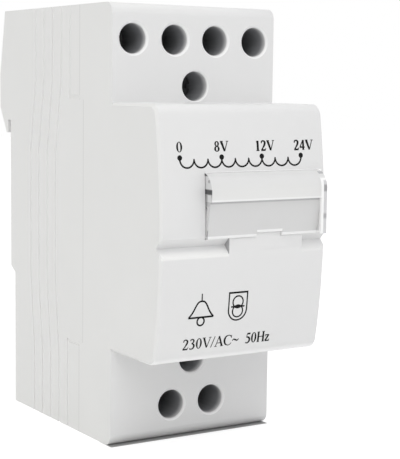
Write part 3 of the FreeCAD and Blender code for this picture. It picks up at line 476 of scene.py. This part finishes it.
def smooth_run(points, steps=7):
    """Fills a run of points that carry a width with a smooth curve through them."""
    filled = []
    for index in range(len(points) - 1):
        before = points[max(index - 1, 0)]
        start, end = points[index], points[index + 1]
        after = points[min(index + 2, len(points) - 1)]
        for step in range(steps):
            t = step / steps
            filled.append(tuple(
                0.5 * (2 * b + (c - a) * t + (2 * a - 5 * b + 4 * c - d) * t * t
                       + (3 * b - a - 3 * c + d) * t * t * t)
                for a, b, c, d in zip(before, start, end, after)))
    filled.append(points[-1])
    return filled


def ring(across, up, wide, high, thick, thin, steps=28):
    """A closed oval stroke, thick at its sides and thin at its top and bottom."""
    run = []
    for step in range(steps + 1):
        turn = 2 * math.pi * step / steps
        side = abs(math.cos(turn))
        run.append((across + wide * math.cos(turn), up + high * math.sin(turn),
                    thin + (thick - thin) * side * side))
    return run


def bowl(across, up, half, depth, width, steps):
    """A stroke that hangs in a half oval between two points of the same height."""
    turns = [math.pi * step / steps for step in range(steps + 1)]
    return [(across - half * math.cos(turn), up - depth * math.sin(turn), width) for turn in turns]


def dot(across, up, radius, steps=14):
    """A filled round spot, as a stroke that swells and shrinks."""
    turns = [math.pi * step / steps for step in range(steps + 1)]
    return [(across - radius * math.cos(turn), up, max(2 * radius * math.sin(turn), radius / 6))
            for turn in turns]


print_dark = shade(8, 8, 9)
print_light = shade(22, 22, 23)
print_ink = Finish(bpy.data.materials.new("black_pad_print"))
pinholes = print_ink.noise(5200.0, detail=3.0)
black_ink = print_ink.surface(
    Base_Color=print_ink.blend(pinholes, print_dark, print_light),
    Roughness=0.50 + pinholes * 0.2,
    Specular_IOR_Level=0.15)


def ink(name, runs):
    """Makes one printed mark from strokes, each a run of (across, up, width) in millimetres."""
    corners, faces = [], []
    for run in runs:
        first = len(corners)
        for index, (across, up, width) in enumerate(run):
            before = run[max(index - 1, 0)]
            after = run[min(index + 1, len(run) - 1)]
            if run[0][:2] == run[-1][:2] and index in (0, len(run) - 1):
                before, after = run[-2], run[1]
            along = Vector((after[0] - before[0], after[1] - before[1])).normalized()
            aside = Vector((-along.y, along.x)) * width / 2
            corners.append(on_bow((across + aside.x) / in_a_metre, (up + aside.y) / in_a_metre))
            corners.append(on_bow((across - aside.x) / in_a_metre, (up - aside.y) / in_a_metre))
        for index in range(len(run) - 1):
            start = first + 2 * index
            faces.append((start, start + 1, start + 3, start + 2))
    mesh = bpy.data.meshes.new(name)
    mesh.from_pydata(corners, [], faces)
    mesh.update()
    mesh.materials.append(black_ink)
    mark = bpy.data.objects.new(name, mesh)
    bpy.context.scene.collection.objects.link(mark)
    film = mark.modifiers.new("film", "SOLIDIFY")
    film.thickness = ink_height * film_share
    film.offset = -1.0
    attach(mark, "housing")


# Each figure has the room that it takes along its line, and its strokes as runs of (across,
# up, width), all in shares of the figure's size.
figures = {
    "0": (0.76, [ring(0.36, 0.5, 0.24, 0.47, 0.15, 0.05)]),
    "1": (0.76, [[(0.38, 0.03, 0.15), (0.38, 0.98, 0.15)], [(0.18, 0.02, 0.045), (0.58, 0.02, 0.045)],
                 [(0.19, 0.84, 0.05), (0.36, 0.96, 0.07)]]),
    "2": (0.76, [smooth_run([(0.09, 0.72, 0.06), (0.16, 0.90, 0.09), (0.34, 0.96, 0.08), (0.53, 0.84, 0.14),
                             (0.51, 0.62, 0.14), (0.30, 0.30, 0.09), (0.08, 0.06, 0.06)]),
                 [(0.06, 0.06, 0.11), (0.58, 0.06, 0.11)], [(0.57, 0.04, 0.06), (0.67, 0.24, 0.04)]]),
    "3": (0.76, [smooth_run([(0.11, 0.80, 0.06), (0.20, 0.92, 0.09), (0.34, 0.96, 0.07), (0.50, 0.84, 0.13),
                             (0.47, 0.67, 0.11), (0.28, 0.55, 0.06)]),
                 smooth_run([(0.28, 0.55, 0.06), (0.46, 0.49, 0.11), (0.57, 0.31, 0.15), (0.46, 0.10, 0.12),
                             (0.25, 0.03, 0.08), (0.08, 0.09, 0.11)])]),
    "4": (0.76, [[(0.49, 0.0, 0.14), (0.49, 0.99, 0.14)], [(0.47, 0.97, 0.07), (0.06, 0.30, 0.06)],
                 [(0.03, 0.28, 0.09), (0.68, 0.28, 0.09)]]),
    "5": (0.76, [[(0.22, 0.92, 0.13), (0.62, 0.92, 0.13)], [(0.23, 0.95, 0.05), (0.15, 0.58, 0.05)],
                 smooth_run([(0.15, 0.57, 0.06), (0.33, 0.59, 0.12), (0.53, 0.46, 0.15), (0.55, 0.24, 0.15),
                             (0.38, 0.06, 0.10), (0.20, 0.03, 0.08), (0.07, 0.09, 0.11)])]),
    "8": (0.76, [ring(0.37, 0.745, 0.18, 0.215, 0.11, 0.055), ring(0.37, 0.265, 0.215, 0.235, 0.13, 0.055)]),
    "V": (1.02, [[(0.16, 0.96, 0.16), (0.53, 0.04, 0.12)], [(0.90, 0.96, 0.05), (0.54, 0.02, 0.06)],
                 [(0.0, 0.98, 0.04), (0.36, 0.98, 0.04)], [(0.74, 0.98, 0.04), (1.03, 0.98, 0.04)]]),
    "A": (1.04, [[(0.14, 0.04, 0.05), (0.50, 0.97, 0.06)], [(0.50, 0.99, 0.12), (0.88, 0.04, 0.16)],
                 [(0.24, 0.34, 0.05), (0.72, 0.34, 0.05)], [(0.0, 0.02, 0.04), (0.29, 0.02, 0.04)],
                 [(0.70, 0.02, 0.04), (1.05, 0.02, 0.04)]]),
    "C": (1.00, [smooth_run([(0.92, 0.72, 0.05), (0.82, 0.90, 0.07), (0.56, 0.97, 0.06), (0.25, 0.84, 0.12),
                             (0.12, 0.52, 0.16), (0.24, 0.17, 0.12), (0.56, 0.03, 0.06), (0.80, 0.09, 0.06),
                             (0.94, 0.24, 0.05)]),
                 [(0.92, 0.70, 0.04), (0.92, 0.98, 0.04)]]),
    "H": (1.09, [[(0.22, 0.02, 0.15), (0.22, 0.98, 0.15)], [(0.88, 0.02, 0.15), (0.88, 0.98, 0.15)],
                 [(0.22, 0.52, 0.06), (0.88, 0.52, 0.06)]] + [
                     [(side - 0.17, level, 0.04), (side + 0.17, level, 0.04)]
                     for side in (0.22, 0.88) for level in (0.02, 0.98)]),
    "z": (0.66, [[(0.08, 0.61, 0.08), (0.56, 0.61, 0.08)], [(0.53, 0.62, 0.13), (0.10, 0.05, 0.13)],
                 [(0.06, 0.05, 0.09), (0.60, 0.05, 0.09)], [(0.09, 0.64, 0.05), (0.07, 0.46, 0.04)],
                 [(0.58, 0.03, 0.05), (0.61, 0.20, 0.04)]]),
    "/": (0.42, [[(0.0, -0.02, 0.06), (0.42, 1.0, 0.06)]]),
    "~": (0.86, [smooth_run([(0.05, 0.40, 0.05), (0.20, 0.53, 0.09), (0.42, 0.47, 0.12), (0.62, 0.40, 0.09),
                             (0.80, 0.54, 0.05)])]),
}


def line_of(text, left, right, base, high, weight):
    """Strokes of a line of figures between two ends, on a base line, some weight thicker or thinner."""
    wide = (right - left) / sum(figures[letter][0] for letter in text)
    strokes, start = [], left
    for letter in text:
        room, runs = figures[letter]
        for run in runs:
            strokes.append([(start + across * wide, base + up * high, width * high * weight)
                            for across, up, width in run])
        start += room * wide
    return strokes


output_base = 14.38
output_high = 1.80
zero_weight = 1.35
volt_weight = 1.6
outputs = line_of("0", -14.05, -12.75, output_base, output_high, zero_weight)
for text, left, right in (("8V", -6.45, -3.42), ("12V", 2.15, 6.36), ("24V", 10.62, 14.92)):
    outputs += line_of(text, left, right, output_base, output_high, volt_weight)
ink("output_figures", outputs)

tap_places = (-13.44, -4.92, 3.55, 12.09)
tap_height = 13.43
tap_radius = 0.47
tap_tail = 0.3
humps_between = 3
hump_depth = 1.42
hump_steps = 16
cusp_height = 13.12
cusp_rise = 0.12
cusp_drop = 0.45
cusp_tip = 0.16
line_width = 0.30
symbol = []
for place in tap_places:
    symbol.append(dot(place, tap_height, tap_radius))
    symbol.append([(place, tap_height, line_width), (place, cusp_height - tap_tail, line_width)])
for left, right in zip(tap_places, tap_places[1:]):
    span = (right - left) / humps_between
    for count in range(humps_between):
        middle = left + span * (count + 0.5)
        symbol.append(bowl(middle, cusp_height, span / 2, hump_depth, line_width, hump_steps))
        if count:
            cusp = left + span * count
            symbol.append([(cusp, cusp_height + cusp_rise, cusp_tip),
                           (cusp, cusp_height - cusp_drop, line_width)])
ink("winding_symbol", symbol)

# Printed marks of use and supply: the common bell sign, the common sign of a safety
# transformer and the mains voltage, in the same black pad print.
bell_line = 0.29
bell_centre = -8.70
bell_crown = -11.49
bell_mouth = -14.36
bell_flank = [(0.0, bell_crown), (0.45, -11.56), (0.83, -11.85), (1.20, -12.42),
              (1.57, -13.12), (2.0, -13.75), (2.56, bell_mouth)]
stem_top = -10.15
stem_lean = 0.03
stem_widths = (0.20, 0.22)
mouth_ends = (-2.56, 2.58)
mouth_line = 0.32
clapper_height = -15.10
clapper_radii = (0.72, 0.74)
bell = []
for side in (-1, 1):
    bell.append(smooth_run([(bell_centre + side * across, up, bell_line) for across, up in bell_flank]))
bell.append([(bell_centre - stem_lean, stem_top, stem_widths[0]), (bell_centre, bell_crown, stem_widths[1])])
bell.append([(bell_centre + end, bell_mouth, mouth_line) for end in mouth_ends])
bell.append(ring(bell_centre, clapper_height, *clapper_radii, bell_line, bell_line))
ink("bell_sign", bell)

shield_line = 0.26
shield_centre = -1.10
shield_half = 1.92
shield_top = -10.47
shield_top_line = 0.32
shield_overhang = 0.13
shield_foot = -13.55
shield_depth = 1.95
shield_steps = 20
coil_centres = ((-1.10, -12.18), (-1.08, -13.85))
coil_radius = 1.07
coil_line = 0.25
bar_height = -13.02
bar_widths = ((-2.50, 0.26), (-1.60, 0.28), (-1.09, 0.54), (-0.58, 0.28), (0.34, 0.26))
top_half = shield_half + shield_overhang
shield = [[(shield_centre + side * top_half, shield_top, shield_top_line) for side in (-1, 1)]]
for side in (-1, 1):
    flank = shield_centre + side * shield_half
    shield.append([(flank, shield_top, shield_line), (flank, shield_foot, shield_line)])
shield.append(bowl(shield_centre, shield_foot, shield_half, shield_depth, shield_line, shield_steps))
for across, up in coil_centres:
    shield.append(ring(across, up, coil_radius, coil_radius, coil_line, coil_line))
shield.append([(across, bar_height, width) for across, width in bar_widths])
ink("safety_transformer_sign", shield)

supply_base = -20.05
supply_high = 1.92
volts_weight = 1.2
hertz_weight = 1.25
supply = line_of("230V/AC~", -12.0, -0.15, supply_base, supply_high, volts_weight)
supply += line_of("50Hz", 1.20, 6.50, supply_base, supply_high, hertz_weight)
ink("supply_figures", supply)

# Label window: a clear moulded flap, hinged at its rounded upper end, that keeps a label in
# the shallow field behind it. Its upper band is frosted and painted darker towards its top as
# shade; its step, lower edge and right rim carry painted highlights and painted shadow, and
# its cut left end and the outside of the rim carry painted shade.
clear = Finish(bpy.data.materials.new("clear_flap"))
x, y, z = clear.place()
haze = clear.noise(260.0, detail=3.0)
fine_soft = 0.00006
clear_index = 1.49


def band(value, low, high, soft=fine_soft):
    """1 between two lengths, with soft ends."""
    return clear.edge(value, low - soft, low + soft) * (1 - clear.edge(value, high - soft, high + soft))


flap_tone = shade(242, 242, 242)
frost_low_tone = shade(243, 243, 242)
frost_top_shade_tone = shade(237, 237, 237)
frost_fade = (0.0070, 0.0101)
step_height = 0.00585
step_shadow = (step_height - 0.00038, step_height - 0.00004)
step_shadow_share = 0.6
step_shadow_tone = shade(188, 188, 190)
step_light = (step_height - 0.00002, step_height + 0.00034)
painted_highlight_tone = shade(255, 255, 255)
frost = clear.edge(z, step_height - fine_soft, step_height + fine_soft)
# Painted shade: the frosted band is coloured darker towards its top, against the light on the flap's rounded
# top.
frost_painted_shade = clear.blend(clear.edge(z, *frost_fade), frost_low_tone, frost_top_shade_tone)
tone = clear.blend(frost, flap_tone, frost_painted_shade)
# Painted shadow under the step and a painted highlight along it.
tone = clear.blend(band(z, *step_shadow) * step_shadow_share, tone, step_shadow_tone)
tone = clear.blend(band(z, *step_light), tone, painted_highlight_tone)

lower_edge = -0.00065
lower_edge_fade = (0.00045, 0.00060)
notch_ends = (0.00195, 0.00745)
notch_rise = 0.0007
over_edge = z - lower_edge - x.between(*notch_ends) * notch_rise
# Painted highlight: a bright line along the lower edge, raised over the notch.
lower_edge_highlight = 1 - clear.edge(over_edge, *lower_edge_fade)
tone = clear.blend(lower_edge_highlight, tone, painted_highlight_tone)

left_end = -0.00840
end_fade = (left_end + 0.00005, left_end + 0.00010)
end_tone = shade(232, 232, 233)
end_painted_shade_tone = shade(84, 84, 86)
top_mark = (0.01015, 0.01035)
middle_mark = (0.0071, 0.0080)
middle_soft = 0.00015
spot_place = (-0.06133, 0.00937)
spot_radii = (0.00022, 0.00036)
spot_share = 0.5
legs_top = 0.0075
inner_leg_depths = (-0.06100, -0.06080)
inner_leg_fade = (0.0030, 0.0072)
inner_leg_share = 0.55
outer_leg_depths = (-0.06205, -0.06190)
outer_leg_fade = (0.0056, 0.0072)
outer_leg_share = 0.5
low_mark_fade = (0.0006, 0.0012)
low_mark_depths = (-0.06085, -0.06070)
low_mark_share = 0.5
end_face = 1 - clear.edge(x, *end_fade)
from_spot_y = y - spot_place[0]
from_spot_z = z - spot_place[1]
to_spot = from_spot_y * from_spot_y + from_spot_z * from_spot_z
spot = 1 - clear.edge(to_spot, spot_radii[0] ** 2, spot_radii[1] ** 2)
inner_leg = clear.edge(y, *inner_leg_depths) * clear.edge(z, *inner_leg_fade) * (z < legs_top)
outer_leg = (1 - clear.edge(y, *outer_leg_depths)) * clear.edge(z, *outer_leg_fade) * (z < legs_top)
low_mark = (1 - clear.edge(z, *low_mark_fade)) * (1 - clear.edge(y, *low_mark_depths))
# Painted shade: dark marks on the cut left end, at its top, middle, pivot spot, legs and foot.
dark = clear.edge(z, *top_mark).larger(band(z, *middle_mark, middle_soft)).larger(spot * spot_share)
dark = dark.larger(inner_leg * inner_leg_share).larger(outer_leg * outer_leg_share)
dark = dark.larger(low_mark * low_mark_share)
tone = clear.blend(end_face, tone, end_tone)
tone = clear.blend(end_face * dark, tone, end_painted_shade_tone)

rim_start = 0.01520
rim_wall = (rim_start - 0.00012, rim_start - 0.00004)
rim_depths = (-0.0618, -0.0615)
rim_fade = (0.0098, 0.0102)
rim_top_side = (rim_start + 0.0001, rim_start + 0.0002)
rim_top_heights = (0.0101, 0.0105)
rim_top_shade_tone = shade(190, 190, 192)
# Painted highlight on the inner wall of the right rim, and a painted shade mark at its top.
rim_wall_highlight = clear.edge(x, *rim_wall) * (1 - clear.edge(z, *rim_fade)) * (1 - clear.edge(y, *rim_depths))
rim_top_shade = clear.edge(x, *rim_top_side) * band(z, *rim_top_heights)
tone = clear.blend(rim_wall_highlight, tone, painted_highlight_tone)
tone = clear.blend(rim_top_shade, tone, rim_top_shade_tone)

outside_start = (rim_start + 0.00046, rim_start + 0.00056)
outside_fade = (0.0088, 0.0092)
outside_depth = -0.0601
outside_shade_tone = shade(214, 214, 216)
upper_shadow = (0.0070, 0.0082)
upper_shadow_soft = 0.0002
upper_shadow_tone = shade(160, 160, 162)
lower_shadow = (0.0021, 0.0030)
lower_shadow_soft = 0.0003
lower_shadow_tone = shade(176, 176, 178)
# Painted shade on the outside of the right rim, with two darker painted shadow bands.
outside_shade = clear.edge(x, *outside_start) * (1 - clear.edge(z, *outside_fade)) * (y < outside_depth)
tone = clear.blend(outside_shade, tone, outside_shade_tone)
tone = clear.blend(outside_shade * band(z, *upper_shadow, upper_shadow_soft), tone, upper_shadow_tone)
tone = clear.blend(outside_shade * band(z, *lower_shadow, lower_shadow_soft), tone, lower_shadow_tone)

paint(clear.surface(
    Base_Color=tone,
    Roughness=0.10 + haze * 0.08 + frost * 0.16,
    Alpha=(0.62 + frost * 0.22).larger(rim_wall_highlight * 0.95).larger(lower_edge_highlight * 0.80),
    IOR=clear_index,
    Normal=clear.bump(haze, strength=0.05, distance=0.00004)), "label_window")

# Rail clip: the slider that grips the rail's lower edge. It is moulded in the housing's
# plastic, held in the guides at the back and pulled down with a screwdriver in its slot.
clip_dark = shade(224, 225, 225)
clip_light = shade(231, 231, 230)
clip_flow = 110.0
clip_edge = 0.0001
slider = Finish(bpy.data.materials.new("moulded_clip"))
skin, grain, relief = moulded(slider, clip_dark, clip_light, clip_flow)
paint(slider.surface(
    Base_Color=skin,
    Roughness=0.36 + grain * 0.16,
    Normal=relief,
    IOR=plastic_index), "rail_clip")
soften("rail_clip", clip_edge)

# Studio: a white table in a white room, with soft lamps at the front left, above and at the
# left, and the camera to the left of the object, slightly above its middle. Along the foot of
# the object's front the table carries a painted contact shadow and is painted darker for stray light.
scene = bpy.context.scene
scene.view_settings.view_transform = "Standard"

table_reach = 1.2
table_gap = 0.00001
table_level = cad_box[0].z - table_gap
table_corners = [(across * table_reach, away * table_reach, table_level)
                 for across, away in ((-1, -1), (1, -1), (1, 1), (-1, 1))]
table_mesh = bpy.data.meshes.new("table")
table_mesh.from_pydata(table_corners, [], [(0, 1, 2, 3)])
table = bpy.data.objects.new("table", table_mesh)
scene.collection.objects.link(table)


def seen_directly(finish):
    """1 for what the camera, a reflection or a clear piece shows, and 0 for stray light."""
    path = finish.node("ShaderNodeLightPath").out.node
    rays = [Socket(finish, path.outputs[name])
            for name in ("Is Camera Ray", "Is Glossy Ray", "Is Transmission Ray")]
    return rays[0].larger(rays[1]).larger(rays[2])


def grey(level):
    """A plain grey, by the share of light that it gives back."""
    return (level, level, level, 1.0)


table_glow = 0.67
seen_table = grey(0.50)
stray_table = grey(0.94)
stray_painted_shade = grey(0.34)
shadow_tone = grey(0.38)
under_front = -0.004
shadow_fade = (0.0001, 0.0008)
shadow_ends = (0.0172, 0.0178)
strip_fade = (0.001, 0.010)
strip_ends = (0.014, 0.019)
white = Finish(bpy.data.materials.new("white_table"))
along, away, _ = white.place()
ahead = shoulder_face - away


def along_foot(fade, ends):
    """1 on the table along the foot of the object's front, with soft ends."""
    in_depth = (ahead > under_front) * (1 - white.edge(ahead, *fade))
    return in_depth * (1 - white.edge(abs(along), *ends))


glow = white.node("ShaderNodeEmission", None, {"Color": grey(1.0), "Strength": table_glow})
pale = white.node("ShaderNodeBsdfDiffuse", None, {"Color": seen_table})
lit_up = white.node("ShaderNodeAddShader", None, {0: glow, 1: pale})
# Painted shade: the table is darker along the object's front foot for stray light.
matt_tone = white.blend(along_foot(strip_fade, strip_ends), stray_table, stray_painted_shade)
matt = white.node("ShaderNodeBsdfDiffuse", None, {"Color": matt_tone})
both = white.node("ShaderNodeMixShader", None, {0: seen_directly(white), 1: matt, 2: lit_up})
# Painted shadow: a dark strip on the table along the object's front foot.
painted_contact_shadow = white.node("ShaderNodeBsdfDiffuse", None, {"Color": shadow_tone})
with_shadow = white.node("ShaderNodeMixShader", None,
                         {0: along_foot(shadow_fade, shadow_ends), 1: both, 2: painted_contact_shadow})
white.node("ShaderNodeOutputMaterial", None, {"Surface": with_shadow})
table.data.materials.append(white.owner)

room_light = 0.735
left_tint = (1.0, 1.0, 0.95, 1.0)
right_tint = (1.0, 1.0, 1.03, 1.0)
tint_turn = (-1.0, 0.6)
scene.world = bpy.data.worlds.new("white_room")
room = Finish(scene.world)
seen = seen_directly(room)
bearing = room.node("ShaderNodeTexCoord", result="Generated")
sideways = room.node("ShaderNodeSeparateXYZ", None, {"Vector": bearing}, result="X")
tint = room.blend(room.edge(sideways, *tint_turn), left_tint, right_tint)
walls = room.node("ShaderNodeBackground", None,
                  {"Color": room.blend(seen, tint, grey(1.0)),
                   "Strength": room_light + (1 - room_light) * seen})
room.node("ShaderNodeOutputWorld", None, {"Surface": walls})

lamp_aim = Vector((0, -0.03, 0))
for name, place, size, power in (
        ("key_light", (-0.30, -0.62, 0.55), 0.50, 1.40),
        ("top_light", (0.00, -0.10, 0.80), 0.60, 1.00),
        ("side_light", (-0.80, -0.10, 0.02), 0.60, 0.25)):
    lamp = bpy.data.lights.new(name, "AREA")
    lamp.size = size
    lamp.energy = power
    holder = bpy.data.objects.new(name, lamp)
    holder.location = place
    holder.rotation_euler = (lamp_aim - Vector(place)).to_track_quat("-Z", "Y").to_euler()
    scene.collection.objects.link(holder)

eye = Vector((-0.13008, -0.24955, 0.02599))
turn = math.radians(-32.51)
lift = math.radians(6.33)
roll = math.radians(0.72)
back = Vector((math.sin(turn) * math.cos(lift), -math.cos(turn) * math.cos(lift), math.sin(lift)))
level_right = (-back).cross(Vector((0, 0, 1))).normalized()
level_up = level_right.cross(-back)
right = math.cos(roll) * level_right + math.sin(roll) * level_up
up = math.cos(roll) * level_up - math.sin(roll) * level_right
lens = bpy.data.cameras.new("camera")
lens.sensor_fit = "HORIZONTAL"
lens.sensor_width = 36.0
lens.lens = 118.3
lens.clip_start = 0.01
lens.clip_end = 10.0
camera = bpy.data.objects.new("camera", lens)
camera.matrix_world = Matrix((
    (right.x, up.x, back.x, eye.x), (right.y, up.y, back.y, eye.y),
    (right.z, up.z, back.z, eye.z), (0, 0, 0, 1)))
scene.collection.objects.link(camera)
scene.camera = camera
